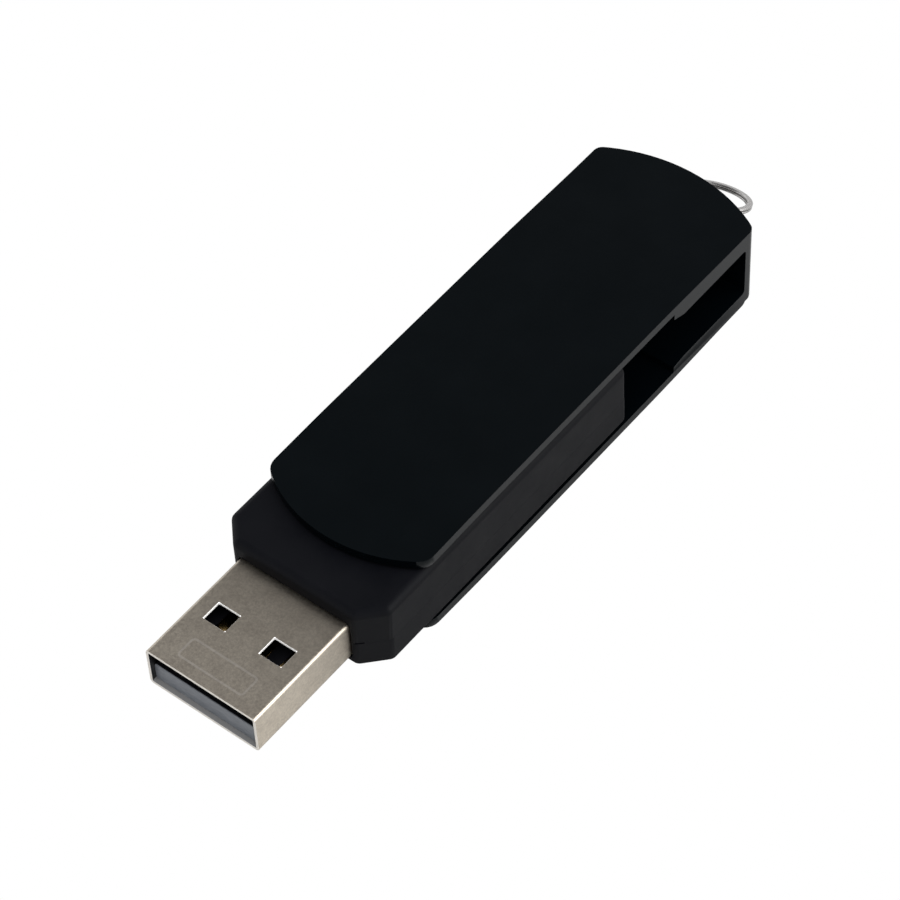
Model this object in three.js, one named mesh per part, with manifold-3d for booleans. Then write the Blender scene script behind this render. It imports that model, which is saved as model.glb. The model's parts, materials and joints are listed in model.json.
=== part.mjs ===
// Swivel USB flash drive: a one-piece U-shaped cover that turns about a drive with a USB-A plug.
//
// Units are millimetres, +Z is up. The origin is the swivel axis, at the face the cover rests on.
// +X points at the plug of the opened drive, and the cover's closed end, with its key ring, is at -X.

import * as THREE from "three";
import { mergeVertices } from "three/addons/utils/BufferGeometryUtils.js";
import Module from "manifold-3d";

const wasm = await Module();
wasm.setup();

// ---------------------------------------------------------------- driving dimensions

const GAP = 0.02; // between two pieces that touch
const SEAM = 0.01; // between the two housing shells
const BEYOND = 60; // farther from the origin than any piece reaches
const PIN_STEPS = 48; // facets of a swivel pin or its socket
const HOLE_STEPS = 24; // facets of a smaller hole or post

// Cover: an extruded U, thin over the housing and thick around the closed drive's plug.
const COVER = {
  height: 9.65, // across the two plates' flat lands
  halfWidth: 8.73,
  nearCorner: 12.5, // x where the side edges end, at the open end
  nearBulge: 2.96, // the open end's arc stands this far beyond its corners
  farCorner: -34.42,
  farBulge: 2.45,
  arcSteps: 18,
  nearCornerRadius: 1.6,
  farCornerRadius: 0.95,
  endEdgeRadius: 0.35, // lower outer edge of the end wall; less than farCornerRadius
  thinPlate: 0.9,
  stepX: -22.4, // the plates are thick from here to the end wall
  stepHeight: 0.7,
  rampLength: 1.5, // lead-in from the step up to the full thickness
  slotBottom: 1.83, // the thick zone's slot, between these heights
  slotTop: 7.55,
  slotEnd: -33.33, // the end wall's inner face
  slotCorner: 0.4,
};
const CROWN = { height: 0.25, centre: -8, flatHalf: 11, run: 14, steps: 7 }; // each plate swells by height

// Lug on the end wall, with a hole along Y for the ring. The ring's wire rests low in the hole.
const LUG = {
  stand: 1.27, // from the end wall to the hole's centre
  embedded: 0.5, // of its root, in the end wall
  belowMiddle: 0.37,
  thickness: 1.2,
  holeRadius: 0.85,
  rim: 0.5,
  wireDrop: 0.35,
};
const LUG_X = COVER.farCorner - COVER.farBulge - LUG.stand;
const LUG_Z = COVER.height / 2 - LUG.belowMiddle;

// Housing: two half shells around the board.
const HOUSING = {
  bottom: 1.2,
  top: 8.22,
  split: 4.15,
  front: 19.95,
  frontHalfWidth: 6.55,
  chamferX: 2.3,
  halfWidth: 8.7,
  rear: -15.5,
  rearBulge: 0.8,
  rearSteps: 12,
  upperFillet: 0.8,
  lowerFillet: 0.3,
  cornerRadius: 0.86, // upright edges
  wall: 0.9,
};
// Pry notch in the joint line of each front corner: beyond the front face's edge, from and to.
const NOTCH = { from: -0.1, to: 0.55, depth: 1.3, height: 0.16 };
const PEG = { radius: 0.7, clearance: 0.05, bossRadius: 1.15, x: [11.5, -12.5], y: 7.2, tip: 2.4 };

// Swivel pins, pressed into flat bosses on the cover's inner faces.
const PIN = { radius: 1.6, clearance: 0.05, inHousing: 0.85, inCover: 0.6, bossRadius: 3.0, chamfer: 0.2 };
const BOSS_GAP = 0.08; // between a boss face and the housing
const SOCKET = { depth: 0.95, bossRadius: 2.6, bossHeight: 0.75 };

// USB-A plug, at the sizes of its standard.
const PLUG = {
  tip: 32.0,
  rear: 13.2,
  width: 12.0,
  height: 4.5,
  centreZ: 4.21,
  sheet: 0.3,
  cornerRadius: 0.4,
  clearance: 0.14, // the housing's opening around it
};
const WINDOW = { x: 25.6, y: 3.06, length: 2.07, width: 2.45, corner: 0.18 };
const TONGUE = { recess: 0.47, thickness: 1.95, rear: 17.0, blockFront: 19.7, corner: 0.2 };
const CONTACT = { width: 1.0, thickness: 0.16, front: 30.7, tailEnd: 14.9, centres: [3.5, 1.0, -1.0, -3.5] };

// Circuit board and the parts on it.
const BOARD = {
  bottom: 3.11,
  thickness: 0.8,
  rear: -13.9,
  front: 12.8,
  halfWidth: 6.25,
  tab: 16.6,
  tabHalf: 5.3,
};
const BOARD_TOP = BOARD.bottom + BOARD.thickness;
const FLASH = { x: -3.8, length: 18.4, width: 12.0, height: 1.0, leads: 24, pitch: 0.5, reach: 0.8 };
const CONTROLLER = { x: 9.7, size: 5.6, height: 1.2, leads: 9, pitch: 0.5, reach: 0.6 };
const CRYSTAL = { x: 7.9, y: -3.2, length: 3.2, width: 2.5, baseHeight: 0.35, height: 0.75, lidInset: 0.2 };

// Key ring: two turns of flat wire that hang from the lug at a slant.
const RING = {
  midRadius: 3.26,
  wireWidth: 0.58,
  wireThickness: 0.27,
  wireEdge: 0.08, // chamfer along the wire
  pitch: 0.31, // from one turn to the next
  jog: 14, // degrees to each side of the place where the wire climbs a pitch
  jogPlace: -90, // degrees from the lug around the ring
  steps: 120,
  droop: 29, // degrees
  roll: 4, // degrees
};

// ---------------------------------------------------------------- materials

const finish = (color, roughness, metalness) =>
  new THREE.MeshStandardMaterial({ color, roughness, metalness });

const blackMetal = finish(0x0d1114, 0.34, 0.6);
const blackPlastic = finish(0x17181b, 0.62, 0.0);
const steel = finish(0xb3aca2, 0.32, 1.0);
const ringSteel = finish(0xbdbab6, 0.28, 1.0);
const darkPlastic = finish(0x1d2226, 0.3, 0.0);
const gold = finish(0xd6ab52, 0.25, 1.0);
const boardGreen = finish(0x14512f, 0.45, 0.0);
const chipBlack = finish(0x1b1b1d, 0.55, 0.0);
const ceramic = finish(0xb39a74, 0.6, 0.0);
const resistorBlack = finish(0x26262a, 0.5, 0.0);
const crystalCan = finish(0xc9c9c6, 0.25, 1.0);

// ---------------------------------------------------------------- solids from geometry

/** Closed manifold solid from a three.js geometry. */
function solid(geometry) {
  const bare = geometry.clone();
  bare.deleteAttribute("normal");
  bare.deleteAttribute("uv");
  const merged = mergeVertices(bare, 1e-4);
  const corners = merged.index.array;
  const kept = [];
  for (let i = 0; i < corners.length; i += 3) {
    const [a, b, c] = corners.slice(i, i + 3);
    if (a !== b && b !== c && c !== a) kept.push(a, b, c);
  }
  return new wasm.Manifold(
    new wasm.Mesh({
      numProp: 3,
      vertProperties: new Float32Array(merged.attributes.position.array),
      triVerts: new Uint32Array(kept),
    }),
  );
}

/** Geometry of a manifold solid. */
function geometryOf(body) {
  const mesh = body.getMesh();
  const geometry = new THREE.BufferGeometry();
  geometry.setAttribute("position", new THREE.BufferAttribute(mesh.vertProperties, 3));
  geometry.setIndex(new THREE.BufferAttribute(mesh.triVerts, 1));
  geometry.computeVertexNormals();
  return geometry;
}

/**
 * Closed shape through corners [a, b] or [a, b, radius], counter-clockwise. A corner with a radius
 * becomes an arc that is tangent to both its sides.
 */
function outline(corners) {
  const shape = new THREE.Shape();
  const count = corners.length;
  corners.forEach(([a, b, radius = 0], i) => {
    const corner = new THREE.Vector2(a, b);
    const [pa, pb] = corners[(i + count - 1) % count];
    const [na, nb] = corners[(i + 1) % count];
    const back = new THREE.Vector2(pa, pb).sub(corner).normalize();
    const ahead = new THREE.Vector2(na, nb).sub(corner).normalize();
    const go = (point) => (i === 0 ? shape.moveTo(point.x, point.y) : shape.lineTo(point.x, point.y));
    if (radius === 0) {
      go(corner);
      return;
    }
    const half = Math.acos(back.dot(ahead)) / 2;
    const start = corner.clone().addScaledVector(back, radius / Math.tan(half));
    const end = corner.clone().addScaledVector(ahead, radius / Math.tan(half));
    const middle = back.clone().add(ahead).normalize();
    const centre = corner.clone().addScaledVector(middle, radius / Math.sin(half));
    const clockwise = back.cross(ahead) > 0;
    go(start);
    const from = Math.atan2(start.y - centre.y, start.x - centre.x);
    const to = Math.atan2(end.y - centre.y, end.x - centre.x);
    shape.absarc(centre.x, centre.y, radius, from, to, clockwise);
  });
  shape.closePath();
  return shape;
}

/** Rectangle [a0, a1] by [b0, b1] with rounded corners. */
const rectangle = (a0, a1, b0, b1, radius = 0) =>
  outline([[a0, b0, radius], [a1, b0, radius], [a1, b1, radius], [a0, b1, radius]]);

/** Shape in (x, y), raised from z0 to z1. */
function raise(shape, z0, z1, curveSegments = 2) {
  const geometry = new THREE.ExtrudeGeometry(shape, { depth: z1 - z0, bevelEnabled: false, curveSegments });
  return solid(geometry.translate(0, 0, z0));
}

/** Shape in (x, z), drawn across the part from y0 to y1. */
function across(shape, y0, y1, curveSegments = 3) {
  const geometry = new THREE.ExtrudeGeometry(shape, { depth: y1 - y0, bevelEnabled: false, curveSegments });
  return solid(geometry.rotateX(Math.PI / 2).translate(0, y1, 0));
}

/** Shape in (y, z), drawn along the part from x0 to x1. */
function along(shape, x0, x1, curveSegments = 3) {
  const geometry = new THREE.ExtrudeGeometry(shape, { depth: x1 - x0, bevelEnabled: false, curveSegments });
  const turn = new THREE.Matrix4().makeBasis(
    new THREE.Vector3(0, 1, 0),
    new THREE.Vector3(0, 0, 1),
    new THREE.Vector3(1, 0, 0),
  );
  return solid(geometry.applyMatrix4(turn).translate(x0, 0, 0));
}

/** Box between two corners. */
function box(x0, x1, y0, y1, z0, z1) {
  const geometry = new THREE.BoxGeometry(x1 - x0, y1 - y0, z1 - z0);
  return solid(geometry.translate((x0 + x1) / 2, (y0 + y1) / 2, (z0 + z1) / 2));
}

/** Upright cylinder at [x, y] from z0 to z1. */
function post(radius, z0, z1, [x, y] = [0, 0], steps = PIN_STEPS) {
  const geometry = new THREE.CylinderGeometry(radius, radius, z1 - z0, steps);
  return solid(geometry.rotateX(Math.PI / 2).translate(x, y, (z0 + z1) / 2));
}

/** Points of an arc around (cx, 0) through (cx + r, 0) for r > 0, from angle a0 to a1. */
function arcPoints(cx, radius, a0, a1, steps) {
  return Array.from({ length: steps + 1 }, (_, i) => {
    const angle = a0 + ((a1 - a0) * i) / steps;
    return [cx + radius * Math.cos(angle), radius * Math.sin(angle)];
  });
}

/** Radius of the arc that spans 2 * half and stands bulge proud of its chord. */
const arcRadius = (half, bulge) => (half * half + bulge * bulge) / (2 * bulge);

// ---------------------------------------------------------------- cover

/** How far the plates lie inside their flat lands at x. */
function crownInset(x) {
  const run = (Math.abs(x - CROWN.centre) - CROWN.flatHalf) / CROWN.run;
  const share = THREE.MathUtils.clamp(run, 0, 1);
  return (CROWN.height * (1 - Math.cos(Math.PI * share))) / 2;
}

/** Points of a crowned face between x0 and x1, at height z on its land; sign +1 is the lower face. */
function crownLine(x0, x1, z, sign) {
  const ends = [CROWN.centre - CROWN.flatHalf, CROWN.centre + CROWN.flatHalf];
  const slopes = Array.from({ length: CROWN.steps + 1 }, (_, i) => (CROWN.run * i) / CROWN.steps);
  const places = [x0, ...slopes.map((d) => ends[0] - d), ...slopes.map((d) => ends[1] + d), x1];
  const inside = places.filter((x) => x >= Math.min(x0, x1) && x <= Math.max(x0, x1));
  const ordered = [...new Set(inside)].sort((a, b) => (x1 > x0 ? a - b : b - a));
  return ordered.map((x) => [x, z + sign * crownInset(x)]);
}

/** An arc across the cover whose ends lie at x = end, y = +-halfWidth; side is its bulge's direction. */
function endArc(end, bulge, side, cornerRadius) {
  const { halfWidth, arcSteps } = COVER;
  const radius = arcRadius(halfWidth, bulge);
  const half = Math.asin(halfWidth / radius);
  const middle = side > 0 ? 0 : Math.PI;
  const arc = arcPoints(end + side * (bulge - radius), radius, middle - half, middle + half, arcSteps);
  return arc.map(([x, y], i) => (i === 0 || i === arcSteps ? [x, y, cornerRadius] : [x, y]));
}

/** Plan of the straight sides and the open end's arc; it runs on past the closed end. */
function openEndPlan() {
  const { halfWidth, nearCorner, nearBulge, nearCornerRadius } = COVER;
  const arc = endArc(nearCorner, nearBulge, 1, nearCornerRadius);
  return outline([...arc, [-BEYOND, halfWidth], [-BEYOND, -halfWidth]]);
}

/**
 * Cuts the closed end to its arc and rounds the arc's lower edge. It flares away from the cover just
 * past the corners, so the plates' side edges stay sharp, and a block leaves the rest of the cover whole.
 */
function closedEndTrim() {
  const { halfWidth, farCorner, farBulge, farCornerRadius, endEdgeRadius: edge, height } = COVER;
  const flareX = farCorner + farCornerRadius;
  const shape = outline([
    [flareX + BEYOND - halfWidth, BEYOND],
    [flareX, halfWidth],
    ...endArc(farCorner, farBulge, -1, farCornerRadius),
    [flareX, -halfWidth],
    [flareX + BEYOND - halfWidth, -BEYOND],
    [BEYOND, -BEYOND],
    [BEYOND, BEYOND],
  ]);
  const geometry = new THREE.ExtrudeGeometry(shape, {
    depth: height,
    bevelSize: edge,
    bevelThickness: edge,
    bevelOffset: -edge,
    bevelSegments: 4,
    curveSegments: 2,
  });
  const rounded = solid(geometry.translate(0, 0, CROWN.height + edge));
  const blockFrom = CROWN.centre - CROWN.flatHalf - CROWN.run;
  return rounded.add(box(blockFrom, BEYOND, -BEYOND, BEYOND, -BEYOND, BEYOND));
}

/** The space between the plates, seen from the side. */
function coverSlot() {
  const { height, thinPlate, stepX, stepHeight, rampLength } = COVER;
  const { slotBottom, slotTop, slotEnd, slotCorner } = COVER;
  const lower = crownLine(stepX, BEYOND, thinPlate, 1);
  const upper = crownLine(BEYOND, stepX, height - thinPlate, -1);
  return outline([
    ...lower,
    ...upper,
    [stepX, height - thinPlate - stepHeight],
    [stepX - rampLength, slotTop],
    [slotEnd, slotTop, slotCorner],
    [slotEnd, slotBottom, slotCorner],
    [stepX - rampLength, slotBottom],
    [stepX, thinPlate + stepHeight],
  ]);
}

/** Tab with a hole, seen from the side; its root is inside the end wall. */
function lug() {
  const root = LUG_X + LUG.stand + LUG.embedded;
  const radius = LUG.holeRadius + LUG.rim;
  const tab = new THREE.Shape();
  tab.moveTo(root, LUG_Z - radius);
  tab.lineTo(root, LUG_Z + radius);
  tab.lineTo(LUG_X, LUG_Z + radius);
  tab.absarc(LUG_X, LUG_Z, radius, Math.PI / 2, (3 * Math.PI) / 2, false);
  tab.closePath();
  tab.holes.push(new THREE.Path().absarc(LUG_X, LUG_Z, LUG.holeRadius, 0, 2 * Math.PI, true));
  return across(tab, -LUG.thickness / 2, LUG.thickness / 2, 12);
}

function swivelCover() {
  const { height, thinPlate } = COVER;
  const plan = raise(openEndPlan(), -BEYOND, BEYOND);
  const side = outline([
    ...crownLine(-BEYOND, BEYOND, 0, 1),
    ...crownLine(BEYOND, -BEYOND, height, -1),
  ]);
  const blank = plan.intersect(across(side, -BEYOND, BEYOND)).intersect(closedEndTrim());
  const slotted = blank.subtract(across(coverSlot(), -BEYOND, BEYOND)).add(lug());
  const upperBoss = post(PIN.bossRadius, HOUSING.top + BOSS_GAP, height - thinPlate / 2);
  const lowerBoss = post(PIN.bossRadius, thinPlate / 2, HOUSING.bottom - BOSS_GAP);
  const [upperPin, lowerPin] = pinSpans();
  return slotted
    .add(upperBoss)
    .add(lowerBoss)
    .subtract(post(PIN.radius + GAP / 2, upperPin[0], upperPin[1] + GAP))
    .subtract(post(PIN.radius + GAP / 2, lowerPin[0] - GAP, lowerPin[1]));
}

// ---------------------------------------------------------------- swivel pins

/** Lowest and highest z of the upper and the lower pin. */
function pinSpans() {
  const upperFace = HOUSING.top + BOSS_GAP;
  const lowerFace = HOUSING.bottom - BOSS_GAP;
  return [
    [HOUSING.top - PIN.inHousing, upperFace + PIN.inCover],
    [lowerFace - PIN.inCover, HOUSING.bottom + PIN.inHousing],
  ];
}

/** A dowel with a chamfered nose; its nose is at noseZ and its square end at endZ. */
function pivotPin(noseZ, endZ) {
  const length = Math.abs(endZ - noseZ);
  const profile = [
    [0, 0],
    [PIN.radius - PIN.chamfer, 0],
    [PIN.radius, PIN.chamfer],
    [PIN.radius, length],
    [0, length],
  ].map(([r, h]) => new THREE.Vector2(r, h));
  const geometry = new THREE.LatheGeometry(profile, PIN_STEPS);
  geometry.rotateX(endZ > noseZ ? Math.PI / 2 : -Math.PI / 2);
  return solid(geometry.translate(0, 0, noseZ));
}

// ---------------------------------------------------------------- housing

/** The housing's plan, drawn in by inset from the outer face. */
function housingPlan(inset, cornerRadius) {
  const { front, frontHalfWidth, chamferX, halfWidth, rear, rearBulge, rearSteps } = HOUSING;
  const normal = new THREE.Vector2(halfWidth - frontHalfWidth, chamferX).normalize();
  const reach = normal.x * front + normal.y * frontHalfWidth - inset;
  const x = front - inset;
  const y = halfWidth - inset;
  const frontY = (reach - normal.x * x) / normal.y;
  const sideX = (reach - normal.y * y) / normal.x;
  const radius = arcRadius(y, rearBulge);
  const half = Math.asin(y / radius);
  const centre = rear + inset - rearBulge + radius;
  const rearArc = arcPoints(centre, radius, Math.PI - half, Math.PI + half, rearSteps);
  rearArc[0].push(cornerRadius);
  rearArc[rearArc.length - 1].push(cornerRadius);
  return outline([
    [x, -frontY, cornerRadius],
    [x, frontY, cornerRadius],
    [sideX, y, cornerRadius],
    ...rearArc,
    [sideX, -y, cornerRadius],
  ]);
}

/** The closed housing as one solid block, its upper and lower edges rounded by fillet. */
function housingBlock(fillet) {
  const { bottom, top, cornerRadius } = HOUSING;
  const shape = housingPlan(fillet, cornerRadius - fillet);
  const geometry = new THREE.ExtrudeGeometry(shape, {
    depth: top - bottom - 2 * fillet,
    bevelSize: fillet,
    bevelThickness: fillet,
    bevelSegments: 5,
    curveSegments: 2,
  });
  return solid(geometry.translate(0, 0, bottom + fillet));
}

/** The pocket that holds the plug and opens at the front face. */
function plugOpening() {
  const { width, height, centreZ, cornerRadius, clearance } = PLUG;
  const y = width / 2 + clearance;
  const z = height / 2 + clearance;
  const shape = rectangle(-y, y, centreZ - z, centreZ + z, cornerRadius + clearance);
  return along(shape, PLUG.rear - 2 * clearance, BEYOND);
}

/** The thin slots that open the joint line at the two front corners. */
function pryNotches() {
  const { front, frontHalfWidth, split } = HOUSING;
  const [near, far] = [frontHalfWidth + NOTCH.from, frontHalfWidth + NOTCH.to];
  const roof = split + NOTCH.height;
  const left = box(front - NOTCH.depth, BEYOND, near, far, split, roof);
  return left.add(box(front - NOTCH.depth, BEYOND, -far, -near, split, roof));
}

const hollowFloor = HOUSING.bottom + HOUSING.wall;
const hollowRoof = HOUSING.top - HOUSING.wall;

function housingHollow() {
  return raise(housingPlan(HOUSING.wall + 0.05, 0.5), hollowFloor, hollowRoof, 1);
}

/** Keeps the part of a solid above or below the joint plane. */
function half(body, side) {
  const z = HOUSING.split + (side * SEAM) / 2;
  const [z0, z1] = side > 0 ? [z, BEYOND] : [-BEYOND, z];
  return body.intersect(box(-BEYOND, BEYOND, -BEYOND, BEYOND, z0, z1));
}

const pegPlaces = PEG.x.flatMap((x) => [[x, PEG.y], [x, -PEG.y]]);

function housingUpperShell() {
  let shell = housingBlock(HOUSING.upperFillet).subtract(housingHollow());
  shell = half(shell.subtract(plugOpening()).subtract(pryNotches()), 1);
  const root = hollowRoof + HOUSING.wall / 2;
  shell = shell.add(post(SOCKET.bossRadius, hollowRoof - SOCKET.bossHeight, root));
  for (const place of pegPlaces) {
    shell = shell.add(post(PEG.radius, PEG.tip, root, place, HOLE_STEPS));
  }
  return shell.subtract(post(PIN.radius + PIN.clearance, HOUSING.top - SOCKET.depth, BEYOND));
}

function housingLowerShell() {
  let shell = housingBlock(HOUSING.lowerFillet).subtract(housingHollow());
  shell = half(shell.subtract(plugOpening()), -1);
  const root = hollowFloor - HOUSING.wall / 2;
  shell = shell.add(post(SOCKET.bossRadius, root, hollowFloor + SOCKET.bossHeight));
  for (const place of pegPlaces) {
    const boss = post(PEG.bossRadius, root, BOARD.bottom - GAP, place, HOLE_STEPS);
    const hole = post(PEG.radius + PEG.clearance, PEG.tip - 2 * PEG.clearance, BEYOND, place, HOLE_STEPS);
    shell = shell.add(boss).subtract(hole);
  }
  return shell.subtract(post(PIN.radius + PIN.clearance, -BEYOND, HOUSING.bottom + SOCKET.depth));
}

// ---------------------------------------------------------------- plug

const plugInner = {
  halfWidth: PLUG.width / 2 - PLUG.sheet,
  bottom: PLUG.centreZ - PLUG.height / 2 + PLUG.sheet,
  top: PLUG.centreZ + PLUG.height / 2 - PLUG.sheet,
};
const tongueTop = plugInner.bottom + GAP + TONGUE.thickness;

function plugShell() {
  const { width, height, centreZ, sheet, cornerRadius, rear, tip } = PLUG;
  const { halfWidth, bottom, top } = plugInner;
  const outer = rectangle(-width / 2, width / 2, centreZ - height / 2, centreZ + height / 2, cornerRadius);
  const inner = rectangle(-halfWidth, halfWidth, bottom, top, cornerRadius - sheet);
  let shell = along(outer, rear, tip).subtract(along(inner, -BEYOND, BEYOND));
  for (const side of [1, -1]) {
    const opening = rectangle(
      WINDOW.x - WINDOW.length / 2,
      WINDOW.x + WINDOW.length / 2,
      side * WINDOW.y - WINDOW.width / 2,
      side * WINDOW.y + WINDOW.width / 2,
      WINDOW.corner,
    );
    shell = shell.subtract(raise(opening, centreZ, BEYOND));
  }
  return shell;
}

/** Tongue with its rear block, slotted where the contacts pass through. */
function plugInsulator() {
  const { recess, rear, blockFront, corner } = TONGUE;
  const { halfWidth, bottom, top } = plugInner;
  const low = bottom + GAP;
  const side = halfWidth - GAP;
  const lowerCorner = PLUG.cornerRadius - PLUG.sheet + GAP;
  const section = outline([
    [-side, low, lowerCorner],
    [side, low, lowerCorner],
    [side, tongueTop, corner],
    [-side, tongueTop, corner],
  ]);
  const block = rectangle(-side, side, low, top - GAP, lowerCorner);
  let body = along(section, rear, PLUG.tip - recess).add(along(block, rear, blockFront));
  const roof = tongueTop + CONTACT.thickness + 3 * GAP;
  for (const y of CONTACT.centres) {
    const slotHalf = CONTACT.width / 2 + 2 * GAP;
    body = body.subtract(box(rear - 1, blockFront + 1, y - slotHalf, y + slotHalf, tongueTop, roof));
  }
  return body;
}

/** One contact: a strip on the tongue that steps down behind it onto the board. */
function plugContact(y) {
  const { width, thickness, front, tailEnd } = CONTACT;
  const low = tongueTop + GAP;
  const tailLow = BOARD_TOP + GAP;
  const bend = TONGUE.rear - 0.1;
  const profile = outline([
    [front, low],
    [front + 0.25, low + 0.04],
    [front, low + thickness],
    [bend, low + thickness],
    [bend - 0.35, tailLow + thickness],
    [tailEnd, tailLow + thickness],
    [tailEnd, tailLow],
    [bend - 0.3, tailLow],
    [bend + 0.05, low],
  ]);
  return across(profile, y - width / 2, y + width / 2);
}

// ---------------------------------------------------------------- electronics

/** Board with a narrower tab that enters the plug shell. */
function circuitBoard() {
  const { bottom, rear, front, halfWidth, tab, tabHalf } = BOARD;
  const plan = outline([
    [rear, -halfWidth, 0.8],
    [front, -halfWidth, 0.3],
    [front, -tabHalf],
    [tab, -tabHalf],
    [tab, tabHalf],
    [front, tabHalf],
    [front, halfWidth, 0.3],
    [rear, halfWidth, 0.8],
  ]);
  return raise(plan, bottom, BOARD_TOP);
}

/** One gull-wing lead in (distance from the package, height), drawn along its own width. */
function leadProfile(reach, shoulder) {
  const base = BOARD_TOP + GAP;
  const thickness = 0.12;
  return outline([
    [-0.2, shoulder],
    [reach * 0.35, shoulder],
    [reach * 0.5, base],
    [reach, base],
    [reach, base + thickness],
    [reach * 0.6, base + thickness],
    [reach * 0.45, shoulder + thickness],
    [-0.2, shoulder + thickness],
  ]);
}

/** Chip package on the board, with a row of leads at each end in x and, if square, also in y. */
function chip({ x, length, width, height, leads, pitch, reach, fourSided }) {
  const low = BOARD_TOP + 0.1;
  const shoulder = low + height / 2 - 0.06;
  let body = raise(rectangle(x - length / 2, x + length / 2, -width / 2, width / 2), low, low + height);
  const lead = across(leadProfile(reach, shoulder), -0.11, 0.11);
  const turns = fourSided ? [0, 90, 180, 270] : [0, 180];
  for (const turn of turns) {
    const out = turn % 180 === 0 ? length / 2 : width / 2;
    for (let i = 0; i < leads; i += 1) {
      const offset = (i - (leads - 1) / 2) * pitch;
      body = body.add(lead.translate([out, offset, 0]).rotate([0, 0, turn]).translate([x, 0, 0]));
    }
  }
  const markPlace = [x - length / 2 + 1, width / 2 - 1];
  return body.subtract(post(0.35, low + height - 0.08, low + height + 1, markPlace, HOLE_STEPS));
}

const controllerChip = () =>
  chip({ ...CONTROLLER, length: CONTROLLER.size, width: CONTROLLER.size, fourSided: true });

/** Two-terminal chip part: a body between two slightly larger end caps. */
function twoTerminal({ x, y, length, width, height, turned = false, below = false }) {
  const cap = length * 0.2;
  const rise = 0.03;
  const base = below ? BOARD.bottom - GAP - height : BOARD_TOP + GAP;
  const body = box(-length / 2, length / 2, -width / 2 + rise, width / 2 - rise, rise, height - rise);
  const first = box(-length / 2, -length / 2 + cap, -width / 2, width / 2, 0, height);
  const second = box(length / 2 - cap, length / 2, -width / 2, width / 2, 0, height);
  const part = body.add(first).add(second);
  return (turned ? part.rotate([0, 0, 90]) : part).translate([x, y, base]);
}

/** Oscillator can: a lid on a slightly larger base, under the board. */
function crystal() {
  const { x, y, length, width, baseHeight, height, lidInset } = CRYSTAL;
  const top = BOARD.bottom - GAP;
  const plan = (inset) =>
    rectangle(
      x - length / 2 + inset,
      x + length / 2 - inset,
      y - width / 2 + inset,
      y + width / 2 - inset,
      lidInset,
    );
  const base = raise(plan(0), top - baseHeight, top);
  return base.add(raise(plan(lidInset), top - height, top - baseHeight / 2));
}

// ---------------------------------------------------------------- key ring

/** Two flat turns: a level coil that climbs one pitch at its jog. Its lug point is at the origin. */
class SplitRingCurve extends THREE.Curve {
  getPoint(t, target = new THREE.Vector3()) {
    const { midRadius, jog, jogPlace, pitch } = RING;
    const degrees = (2 * t - 1) * (360 - jog - 1);
    const angle = THREE.MathUtils.degToRad(degrees + jogPlace);
    const climb = THREE.MathUtils.smoothstep(degrees, -jog, jog) - 0.5;
    return target.set(midRadius * (Math.cos(angle) - 1), midRadius * Math.sin(angle), climb * pitch);
  }
}

/** Flat wire with broken edges, swept around the two turns with its width across the ring's radius. */
function splitRing() {
  const { steps, midRadius, wireEdge: edge } = RING;
  const [halfWidth, halfThick] = [RING.wireWidth / 2, RING.wireThickness / 2];
  const section = [1, -1].flatMap((side) => [
    [side * halfWidth, side * (edge - halfThick)],
    [side * halfWidth, side * (halfThick - edge)],
    [side * (halfWidth - edge), side * halfThick],
    [side * (edge - halfWidth), side * halfThick],
  ]);
  const size = section.length;
  const curve = new SplitRingCurve();
  const positions = [];
  for (let i = 0; i <= steps; i += 1) {
    const centre = curve.getPoint(i / steps);
    const radial = new THREE.Vector3(centre.x + midRadius, centre.y, 0).normalize();
    for (const [out, up] of section) {
      const corner = centre.clone().addScaledVector(radial, out);
      positions.push(corner.x, corner.y, corner.z + up);
    }
  }
  const faces = [];
  for (let i = 0; i < steps; i += 1) {
    for (let j = 0; j < size; j += 1) {
      const next = (j + 1) % size;
      const [a, b, c, d] = [i * size + j, i * size + next, (i + 1) * size + j, (i + 1) * size + next];
      faces.push(a, c, b, b, c, d);
    }
  }
  const last = steps * size;
  for (let j = 1; j < size - 1; j += 1) {
    faces.push(0, j, j + 1, last, last + j + 1, last + j);
  }
  const geometry = new THREE.BufferGeometry();
  geometry.setAttribute("position", new THREE.Float32BufferAttribute(positions, 3));
  geometry.setIndex(faces);
  return geometry;
}

// ---------------------------------------------------------------- assembly

const flashDrive = new THREE.Group();

function place(name, body, material) {
  const mesh = new THREE.Mesh(body.isBufferGeometry ? body : geometryOf(body), material);
  mesh.name = name;
  flashDrive.add(mesh);
  return mesh;
}

const [upperPin, lowerPin] = pinSpans();
place("swivel_cover", swivelCover(), blackMetal);
place("pivot_pin_upper", pivotPin(upperPin[0], upperPin[1]), steel);
place("pivot_pin_lower", pivotPin(lowerPin[1], lowerPin[0]), steel);

place("housing_upper_shell", housingUpperShell(), blackPlastic);
place("housing_lower_shell", housingLowerShell(), blackPlastic);

place("plug_shell", plugShell(), steel);
place("plug_insulator", plugInsulator(), darkPlastic);
const contactNames = ["contact_power", "contact_data_minus", "contact_data_plus", "contact_ground"];
contactNames.forEach((name, i) => place(name, plugContact(CONTACT.centres[i]), gold));

place("circuit_board", circuitBoard(), boardGreen);
place("flash_memory_chip", chip(FLASH), chipBlack);
place("controller_chip", controllerChip(), chipBlack);
place("crystal", crystal(), crystalCan);

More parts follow.
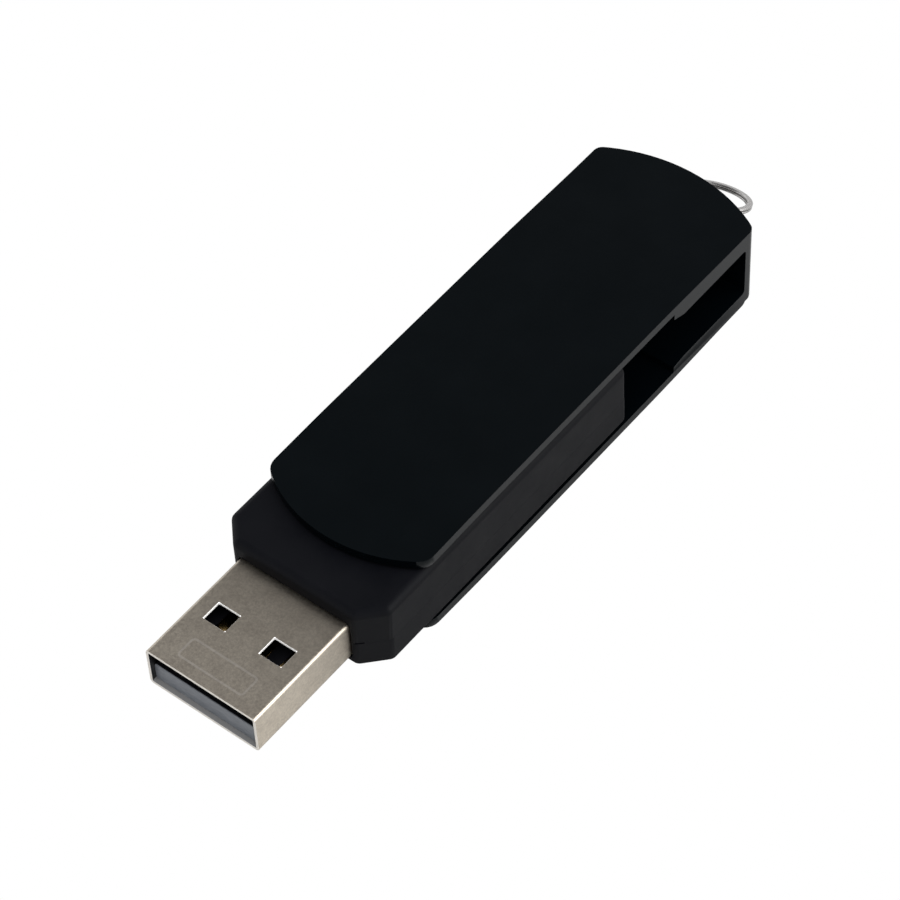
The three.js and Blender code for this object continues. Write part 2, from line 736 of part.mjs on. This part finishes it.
const capacitor = { length: 1.6, width: 0.8, height: 0.8 };
place("capacitor_supply", twoTerminal({ ...capacitor, x: 13.8, y: 4.4, turned: true }), ceramic);
place("capacitor_regulator", twoTerminal({ ...capacitor, x: 13.8, y: -4.4, turned: true }), ceramic);
place("capacitor_controller", twoTerminal({ ...capacitor, x: 9.7, y: 5.0 }), ceramic);
place("capacitor_flash", twoTerminal({ ...capacitor, x: 9.7, y: -5.0 }), ceramic);
place("capacitor_crystal_a", twoTerminal({ ...capacitor, x: 4.9, y: -2.4, below: true }), ceramic);
place("capacitor_crystal_b", twoTerminal({ ...capacitor, x: 4.9, y: -4.0, below: true }), ceramic);

const resistor = { length: 1.6, width: 0.8, height: 0.45 };
place("resistor_data_minus", twoTerminal({ ...resistor, x: 14.0, y: 1.1 }), resistorBlack);
place("resistor_data_plus", twoTerminal({ ...resistor, x: 14.0, y: -1.1 }), resistorBlack);
place("resistor_pull_up", twoTerminal({ ...resistor, x: 11.6, y: 3.2, below: true }), resistorBlack);

const ring = place("split_ring", splitRing(), ringSteel);
ring.rotation.set(THREE.MathUtils.degToRad(RING.roll), THREE.MathUtils.degToRad(-RING.droop), 0, "ZYX");
ring.position.set(LUG_X, 0, LUG_Z - LUG.wireDrop);

export default flashDrive;
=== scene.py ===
"""Looks of the swivel USB flash drive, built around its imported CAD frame.

Lengths are metres in the part's own frame: +X towards the plug, +Z up, origin on the swivel axis.
"""

import json
import math

import bpy
from mathutils import Matrix, Vector

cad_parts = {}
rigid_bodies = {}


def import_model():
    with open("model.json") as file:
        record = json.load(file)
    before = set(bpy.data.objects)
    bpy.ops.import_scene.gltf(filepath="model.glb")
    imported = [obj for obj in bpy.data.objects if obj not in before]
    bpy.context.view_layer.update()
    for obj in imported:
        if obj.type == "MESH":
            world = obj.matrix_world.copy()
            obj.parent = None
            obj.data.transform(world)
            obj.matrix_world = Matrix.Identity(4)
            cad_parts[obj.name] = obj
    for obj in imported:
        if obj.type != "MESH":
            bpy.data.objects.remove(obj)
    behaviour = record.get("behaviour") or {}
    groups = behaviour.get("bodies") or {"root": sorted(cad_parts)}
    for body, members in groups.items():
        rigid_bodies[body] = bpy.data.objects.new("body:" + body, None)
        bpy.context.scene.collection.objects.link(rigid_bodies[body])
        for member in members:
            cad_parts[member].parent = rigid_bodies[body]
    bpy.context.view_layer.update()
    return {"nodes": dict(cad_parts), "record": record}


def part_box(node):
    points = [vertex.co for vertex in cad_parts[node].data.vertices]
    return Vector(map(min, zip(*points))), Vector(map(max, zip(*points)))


MM = 0.001

for leftover in list(bpy.data.objects):
    bpy.data.objects.remove(leftover)

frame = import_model()
NODES = frame["nodes"]


# ------------------------------------------------------------------ places on the plug

PLUG_LOW, PLUG_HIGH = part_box("plug_shell")
PLUG_MIDDLE = (PLUG_LOW + PLUG_HIGH) / 2
PLUG_SHEET = 0.3 * MM
TONGUE_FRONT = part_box("plug_insulator")[1].x
HOUSING_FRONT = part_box("housing_upper_shell")[1].x

WINDOW_LENGTH, WINDOW_WIDTH = 2.07 * MM, 2.45 * MM
WINDOW_BEHIND_MOUTH = 6.4 * MM
WINDOW_OFF_CENTRE = 3.06 * MM


# ------------------------------------------------------------------ node graph helpers


class Graph:
    """A short way to write a node tree."""

    def __init__(self, owner):
        """Starts an empty tree for a new material or world."""
        owner.use_nodes = True
        self.tree = owner.node_tree
        self.tree.nodes.clear()

    def add(self, kind, settings=None, **inputs):
        """New node of a kind; inputs are values or other nodes' sockets, by name or by index _0, _1."""
        node = self.tree.nodes.new(kind)
        for name, value in (settings or {}).items():
            setattr(node, name, value)
        for name, value in inputs.items():
            key = int(name[1:]) if name[0] == "_" else name.replace("_", " ")
            self.join(value, node.inputs[key])
        return node

    def join(self, value, socket):
        """Gives a socket a value, or links another node's socket to it."""
        if isinstance(value, bpy.types.NodeSocket):
            self.tree.links.new(value, socket)
        else:
            socket.default_value = value

    def math(self, operation, a, b=0.0):
        return self.add("ShaderNodeMath", {"operation": operation}, _0=a, _1=b).outputs[0]

    def axes(self, vector):
        """The x, y and z of a vector."""
        return tuple(self.add("ShaderNodeSeparateXYZ", Vector=vector).outputs)

    def noise(self, vector, feature, detail=2.0, roughness=0.55):
        """Noise in 0 to 1 with features of about that many metres."""
        node = self.add(
            "ShaderNodeTexNoise",
            Vector=vector,
            Scale=1.0 / feature,
            Detail=detail,
            Roughness=roughness,
        )
        return node.outputs["Fac"]

    def ramp(self, value, start, end, low=0.0, high=1.0):
        """Goes from low to high as a value goes from start to end, and stays level outside them."""
        node = self.add(
            "ShaderNodeMapRange",
            Value=value,
            From_Min=start,
            From_Max=end,
            To_Min=low,
            To_Max=high,
        )
        return node.outputs[0]

    def spread(self, noise, low=0.0, high=1.0):
        """Stretches 0.3 to 0.7, where most noise lies, over low to high."""
        return self.ramp(noise, 0.3, 0.7, low, high)

    def mix(self, share, first, second):
        """The colour that goes from first to second as share goes from 0 to 1."""
        node = self.add("ShaderNodeMix", {"data_type": "RGBA"}, _0=share, _6=first, _7=second)
        return node.outputs[2]

    def within(self, value, middle, half):
        """1 where a value is within half of the middle, and 0 elsewhere."""
        off = self.math("ABSOLUTE", self.math("SUBTRACT", value, middle))
        return self.math("LESS_THAN", off, half)

    def all_of(self, first, *others):
        """1 where every mask is 1."""
        for other in others:
            first = self.math("MULTIPLY", first, other)
        return first


def colour(red, green, blue):
    return (red, green, blue, 1.0)


def grey(level):
    return colour(level, level, level)


def material(name):
    """New material with its graph, its position on the part and its principled shader."""
    made = bpy.data.materials.new(name)
    graph = Graph(made)
    place = graph.add("ShaderNodeTexCoord").outputs["Object"]
    shader = graph.add("ShaderNodeBsdfPrincipled")
    graph.add("ShaderNodeOutputMaterial", Surface=shader.outputs[0])
    return made, graph, place, shader


def finish(graph, shader, relief, depth, **inputs):
    """Sets a shader's inputs by name, and gives it the relief of a 0 to 1 height, depth metres deep."""
    for name, value in inputs.items():
        graph.join(value, shader.inputs[name.replace("_", " ")])
    bump = graph.add("ShaderNodeBump", Strength=1.0, Distance=depth, Height=relief)
    graph.join(bump.outputs[0], shader.inputs["Normal"])


# ------------------------------------------------------------------ masks of the plug


def painted_reflection_ramp(graph, place):
    """Painted reflection: 0 at the housing to 1 near the mouth; the plating is painted darker towards the
    housing, in place of the darker surroundings it mirrors there.
    """
    short_of_mouth = 2 * MM
    x, _, _ = graph.axes(place)
    return graph.ramp(x, HOUSING_FRONT, PLUG_HIGH.x - short_of_mouth)


def plug_inside(graph, place):
    """Two masks: the shell's inner faces, which are painted dark as painted shade, and the strip of its
    inner floor in front of the tongue.
    """
    slack, overlap, lip_top = 0.02 * MM, 0.1 * MM, 0.4 * MM
    half_width = (PLUG_HIGH.y - PLUG_LOW.y) / 2 - PLUG_SHEET
    half_height = (PLUG_HIGH.z - PLUG_LOW.z) / 2 - PLUG_SHEET
    x, y, z = graph.axes(place)
    in_width = graph.within(y, PLUG_MIDDLE.y, half_width + slack)
    in_height = graph.within(z, PLUG_MIDDLE.z, half_height + slack)
    painted_shade_inside = graph.all_of(in_width, in_height)
    ahead = graph.math("GREATER_THAN", x, TONGUE_FRONT - overlap)
    low = graph.math("LESS_THAN", z, PLUG_LOW.z + lip_top)
    return painted_shade_inside, graph.all_of(ahead, low, painted_shade_inside)


def painted_highlight_edges(graph, place):
    """Painted highlight mask: 1 on the cut walls of the two latch windows, and about half on the rim of the
    mouth; their bare cut steel is painted near white in place of their highlights.
    """
    slack, rim_highlight_share = 0.01 * MM, 0.45
    x, y, z = graph.axes(place)
    in_length = graph.within(x, PLUG_HIGH.x - WINDOW_BEHIND_MOUTH, WINDOW_LENGTH / 2 + slack)
    in_width = graph.within(graph.math("ABSOLUTE", y), WINDOW_OFF_CENTRE, WINDOW_WIDTH / 2 + slack)
    upper = graph.math("GREATER_THAN", z, PLUG_MIDDLE.z)
    walls = graph.all_of(in_length, in_width, upper)
    rim = graph.math("GREATER_THAN", x, PLUG_HIGH.x - slack)
    return graph.math("MAXIMUM", walls, graph.math("MULTIPLY", rim, rim_highlight_share))


def etched_outline(graph, place):
    """1 on one plain rounded outline near the plug's mouth, on its upper face."""
    half_length, half_width = 0.75 * MM, 3.2 * MM
    corner, half_line = 0.3 * MM, 0.10 * MM
    behind_mouth, skin = 2.3 * MM, 0.1 * MM
    x, y, z = graph.axes(place)
    along = graph.math("SUBTRACT", x, PLUG_HIGH.x - behind_mouth)
    reach = [
        graph.math("MAXIMUM", graph.math("SUBTRACT", graph.math("ABSOLUTE", value), half), 0.0)
        for value, half in ((along, half_length), (y, half_width))
    ]
    squares = [graph.math("MULTIPLY", value, value) for value in reach]
    distance = graph.math("SQRT", graph.math("ADD", *squares))
    on_line = graph.within(distance, corner, half_line)
    on_top = graph.math("GREATER_THAN", z, PLUG_HIGH.z - skin)
    return graph.all_of(on_line, on_top)


# ------------------------------------------------------------------ materials


def black_metal():
    """Satin black coated metal: near-black, with faint smudges and a very fine grain."""
    made, graph, place, shader = material("black_metal")
    dark, light = colour(0.0003, 0.0008, 0.0012), colour(0.0006, 0.0012, 0.0017)
    smudge = graph.noise(place, feature=6 * MM, detail=4.0)
    grain = graph.noise(place, feature=0.12 * MM)
    smudged = graph.spread(smudge, 0.17, 0.22)
    finish(
        graph,
        shader,
        relief=grain,
        depth=0.0012 * MM,
        Base_Color=graph.mix(graph.spread(smudge), dark, light),
        Roughness=graph.math("ADD", smudged, graph.spread(grain, -0.02, 0.02)),
        Specular_IOR_Level=0.15,
        Specular_Tint=colour(0.88, 0.97, 1.0),
    )
    return made


def black_plastic():
    """Moulded plastic with a fine matt spark-eroded texture and a slightly uneven tone."""
    made, graph, place, shader = material("black_plastic")
    dark, light = colour(0.0015, 0.0017, 0.0026), colour(0.0024, 0.0026, 0.0036)
    texture = graph.noise(place, feature=0.10 * MM, detail=3.0, roughness=0.65)
    patch = graph.noise(place, feature=4 * MM, detail=3.0)
    finish(
        graph,
        shader,
        relief=texture,
        depth=0.006 * MM,
        Base_Color=graph.mix(graph.spread(patch), dark, light),
        Roughness=graph.spread(patch, 0.50, 0.60),
        Specular_IOR_Level=0.10,
    )
    return made


def plug_steel():
    """Plated sheet steel: satin and mottled, with painted shade towards the housing and on its inner faces,
    a matt grey strip inside the mouth, painted highlights on the window walls and mouth rim, and an etched
    outline.
    """
    made, graph, place, shader = material("plug_steel")
    dark, light = colour(0.54, 0.48, 0.40), colour(0.73, 0.66, 0.55)
    painted_shade_share, etching = 0.24, 0.45
    speckle = graph.noise(place, feature=0.22 * MM, detail=4.0, roughness=0.75)
    cloud = graph.noise(place, feature=1.6 * MM, detail=3.0)
    mottle = graph.math("ADD", graph.spread(speckle, -0.60, 0.60), graph.spread(cloud, 0.25, 0.75))
    plating = graph.mix(mottle, dark, light)
    # Painted shade: towards the housing the plating is painted up to a quarter darker, as painted
    # reflection.
    base = graph.mix(painted_reflection_ramp(graph, place), graph.mix(painted_shade_share, plating, grey(0.0)), plating)

    etched = etched_outline(graph, place)
    painted_shade_inside, lip = plug_inside(graph, place)
    painted_highlight = painted_highlight_edges(graph, place)
    overlays = (
        (graph.math("MULTIPLY", etched, etching), colour(0.80, 0.75, 0.69)),
        # Painted shade: the shell's inner faces are painted a dark grey.
        (painted_shade_inside, grey(0.10)),
        (lip, grey(0.15)),
        # Painted highlight: the window walls and the mouth rim are painted near white.
        (painted_highlight, colour(0.93, 0.92, 0.90)),
    )
    for mask, tone in overlays:
        base = graph.mix(mask, base, tone)

    roughness = graph.spread(speckle, 0.30, 0.44)
    for mask, more in ((etched, 0.06), (lip, 0.3)):
        roughness = graph.math("ADD", roughness, graph.math("MULTIPLY", mask, more))
    finish(
        graph,
        shader,
        relief=speckle,
        depth=0.004 * MM,
        Base_Color=base,
        Roughness=roughness,
        Metallic=graph.math("SUBTRACT", 1.0, graph.math("MAXIMUM", painted_highlight, lip)),
    )
    return made


def tongue_plastic():
    """Dark plastic in two painted tones: paler on the tongue's front face as painted light, near-black
    elsewhere, which paints shade under the latch windows, with faint flow lines.
    """
    made, graph, place, shader = material("dark_plastic")
    dark, painted_lit_tone, painted_lit_brightest = colour(0.004, 0.004, 0.005), colour(0.095, 0.105, 0.12), colour(0.16, 0.17, 0.185)
    dull, glossy = 0.15, 0.50
    across_flow, skin = (1.0, 0.25, 2.0), 0.08 * MM
    stretched = graph.add("ShaderNodeVectorMath", {"operation": "MULTIPLY"}, _0=place, _1=across_flow)
    flow = graph.noise(stretched.outputs[0], feature=0.25 * MM, detail=3.0)
    x, _, _ = graph.axes(place)
    # Painted light: the front face is painted paler than the rest of the same plastic.
    painted_lit_front = graph.math("GREATER_THAN", x, TONGUE_FRONT - skin)
    finish(
        graph,
        shader,
        relief=flow,
        depth=0.004 * MM,
        Base_Color=graph.mix(painted_lit_front, dark, graph.mix(graph.spread(flow), painted_lit_tone, painted_lit_brightest)),
        Roughness=graph.spread(flow, 0.30, 0.38),
        Specular_IOR_Level=graph.ramp(painted_lit_front, 0.0, 1.0, dull, glossy),
    )
    return made


def speckled(name, dark, light, roughness, metallic=0.0):
    """A material whose tone, roughness and relief all follow one fine noise, for the small pieces."""
    made, graph, place, shader = material(name)
    texture = graph.noise(place, feature=0.2 * MM, detail=3.0)
    uneven = 0.04
    finish(
        graph,
        shader,
        relief=texture,
        depth=0.002 * MM,
        Base_Color=graph.mix(graph.spread(texture), colour(*dark), colour(*light)),
        Roughness=graph.spread(texture, roughness - uneven, roughness + uneven),
        Metallic=metallic,
        IOR=1.6,
    )
    return made


SPECKLED = {
    "pin_steel": dict(dark=(0.50, 0.50, 0.49), light=(0.60, 0.60, 0.59), roughness=0.25, metallic=1.0),
    "contact_gold": dict(dark=(0.50, 0.34, 0.13), light=(0.60, 0.42, 0.18), roughness=0.22, metallic=1.0),
    "board_laminate": dict(dark=(0.012, 0.11, 0.045), light=(0.02, 0.17, 0.07), roughness=0.35),
    "chip_package": dict(dark=(0.016, 0.016, 0.018), light=(0.026, 0.026, 0.028), roughness=0.55),
    "crystal_can": dict(dark=(0.60, 0.60, 0.58), light=(0.72, 0.72, 0.70), roughness=0.28, metallic=1.0),
    "capacitor_ceramic": dict(dark=(0.36, 0.25, 0.14), light=(0.48, 0.36, 0.22), roughness=0.5),
    "resistor_film": dict(dark=(0.02, 0.02, 0.024), light=(0.04, 0.04, 0.045), roughness=0.4),
    "ring_steel": dict(dark=(0.42, 0.41, 0.40), light=(0.56, 0.55, 0.54), roughness=0.24, metallic=1.0),
}

MATERIALS = {
    "black_metal": black_metal(),
    "black_plastic": black_plastic(),
    "plug_steel": plug_steel(),
    "dark_plastic": tongue_plastic(),
}
MATERIALS.update((name, speckled(name, **look)) for name, look in SPECKLED.items())


# ------------------------------------------------------------------ CAD nodes

WELD_GAP = 0.002 * MM
FLAT_WITHIN = math.radians(0.2)
SHARP_OVER = math.radians(32.0)
BEVEL_SEGMENTS = 3

# Every node gets the small bevel but these. The housing shells' hair-thin one keeps their sides evenly lit.
SMALL_BEVEL = 0.02 * MM
BEVELS = {
    "swivel_cover": 0.10 * MM,
    "housing_upper_shell": 0.004 * MM,
    "housing_lower_shell": 0.004 * MM,
    "plug_shell": 0.08 * MM,
    "plug_insulator": 0.06 * MM,
    "circuit_board": 0.04 * MM,
    "split_ring": 0.05 * MM,
}

SLOT_OF = {row["node"]: row["material_slot"] for row in frame["record"]["subparts"]}


def refine(piece, bevel):
    """Joins a CAD node's facets, rounds its sharp edges and shades it smoothly."""
    mesh = piece.data
    mesh.polygons.foreach_set("use_smooth", [True] * len(mesh.polygons))
    for name in ("custom_normal", "sharp_face", "sharp_edge"):
        if name in mesh.attributes:
            mesh.attributes.remove(mesh.attributes[name])
    weld = piece.modifiers.new("weld", "WELD")
    weld.merge_threshold = WELD_GAP
    planes = piece.modifiers.new("planes", "DECIMATE")
    planes.decimate_type = "DISSOLVE"
    planes.angle_limit = FLAT_WITHIN
    edges = piece.modifiers.new("edges", "BEVEL")
    edges.width = bevel
    edges.segments = BEVEL_SEGMENTS
    edges.limit_method = "ANGLE"
    edges.angle_limit = SHARP_OVER
    edges.use_clamp_overlap = True
    edges.miter_outer = "MITER_ARC"
    normals = piece.modifiers.new("normals", "WEIGHTED_NORMAL")
    normals.keep_sharp = True


for name, piece in NODES.items():
    refine(piece, BEVELS.get(name, SMALL_BEVEL))
    piece.data.materials.clear()
    piece.data.materials.append(MATERIALS[SLOT_OF[name]])


# ------------------------------------------------------------------ stage, light and camera


def floor():
    """Paper that lights and shades the part, while the camera sees past it to the plain white world."""
    half, gap = 3.0, 0.02 * MM
    mesh = bpy.data.meshes.new("floor")
    corners = [(x * half, y * half, -gap) for x, y in ((-1, -1), (1, -1), (1, 1), (-1, 1))]
    mesh.from_pydata(corners, [], [(0, 1, 2, 3)])
    plane = bpy.data.objects.new("floor", mesh)
    bpy.context.scene.collection.objects.link(plane)
    made = bpy.data.materials.new("floor_paper")
    graph = Graph(made)
    paper = graph.add("ShaderNodeBsdfPrincipled", Base_Color=grey(0.38), Roughness=0.9)
    clear = graph.add("ShaderNodeBsdfTransparent")
    to_camera = graph.add("ShaderNodeLightPath").outputs["Is Camera Ray"]
    surface = graph.add("ShaderNodeMixShader", _0=to_camera, _1=paper.outputs[0], _2=clear.outputs[0])
    graph.add("ShaderNodeOutputMaterial", Surface=surface.outputs[0])
    mesh.materials.append(made)


def cool(level):
    """A grey that is a touch blue."""
    return colour(level, level, level * 1.02)


def world():
    """Bright low down, dark higher up, so that flat black tops stay black and their sides catch light."""
    bright, dim = 1.0, 0.26
    bright_up_to, dim_from = 0.40, 0.62
    made = bpy.data.worlds.new("studio")
    graph = Graph(made)
    direction = graph.add("ShaderNodeTexCoord").outputs["Generated"]
    _, _, height = graph.axes(direction)
    ramp = graph.add("ShaderNodeValToRGB", Fac=height)
    stops = ramp.color_ramp.elements
    stops[0].color = grey(bright)
    stops[1].color = cool(dim)
    for position, level in ((bright_up_to, bright), (dim_from, dim)):
        stops.new(position).color = cool(level)
    background = graph.add("ShaderNodeBackground", Color=ramp.outputs[0], Strength=1.0)
    graph.add("ShaderNodeOutputWorld", Surface=background.outputs[0])
    bpy.context.scene.world = made


def area_light(name, place, power, mirrored):
    """Square soft light aimed at the part; one that isn't mirrored lights it but isn't seen in it."""
    data = bpy.data.lights.new(name, "AREA")
    data.shape = "SQUARE"
    data.size = 0.8
    data.energy = power
    lamp = bpy.data.objects.new(name, data)
    lamp.location = place
    lamp.rotation_euler = (-Vector(place)).to_track_quat("-Z", "Y").to_euler()
    lamp.visible_glossy = mirrored
    bpy.context.scene.collection.objects.link(lamp)


def camera():
    """Looks down on the plug's end and the +Y side, slightly rolled, as a photographer would."""
    azimuth, elevation, roll = (math.radians(angle) for angle in (130.96, 50.64, -3.44))
    distance = 309.65 * MM
    target = Vector((-1.98 * MM, -0.69 * MM, 3.12 * MM))
    level = math.cos(elevation)
    back = Vector((math.sin(azimuth) * level, -math.cos(azimuth) * level, math.sin(elevation)))
    data = bpy.data.cameras.new("camera")
    data.sensor_width = 36.0
    data.lens = 141.08
    data.clip_start = 10 * MM
    eye = bpy.data.objects.new("camera", data)
    turn = back.to_track_quat("Z", "Y").to_matrix().to_4x4()
    eye.matrix_world = Matrix.Translation(target + back * distance) @ turn @ Matrix.Rotation(roll, 4, "Z")
    bpy.context.scene.collection.objects.link(eye)
    bpy.context.scene.camera = eye


floor()
world()
area_light("overhead", place=(0.1, 0.1, 0.7), power=9.0, mirrored=False)
area_light("side_box", place=(-0.38, 0.74, 0.42), power=6.0, mirrored=True)
camera()
bpy.context.scene.view_settings.view_transform = "Standard"
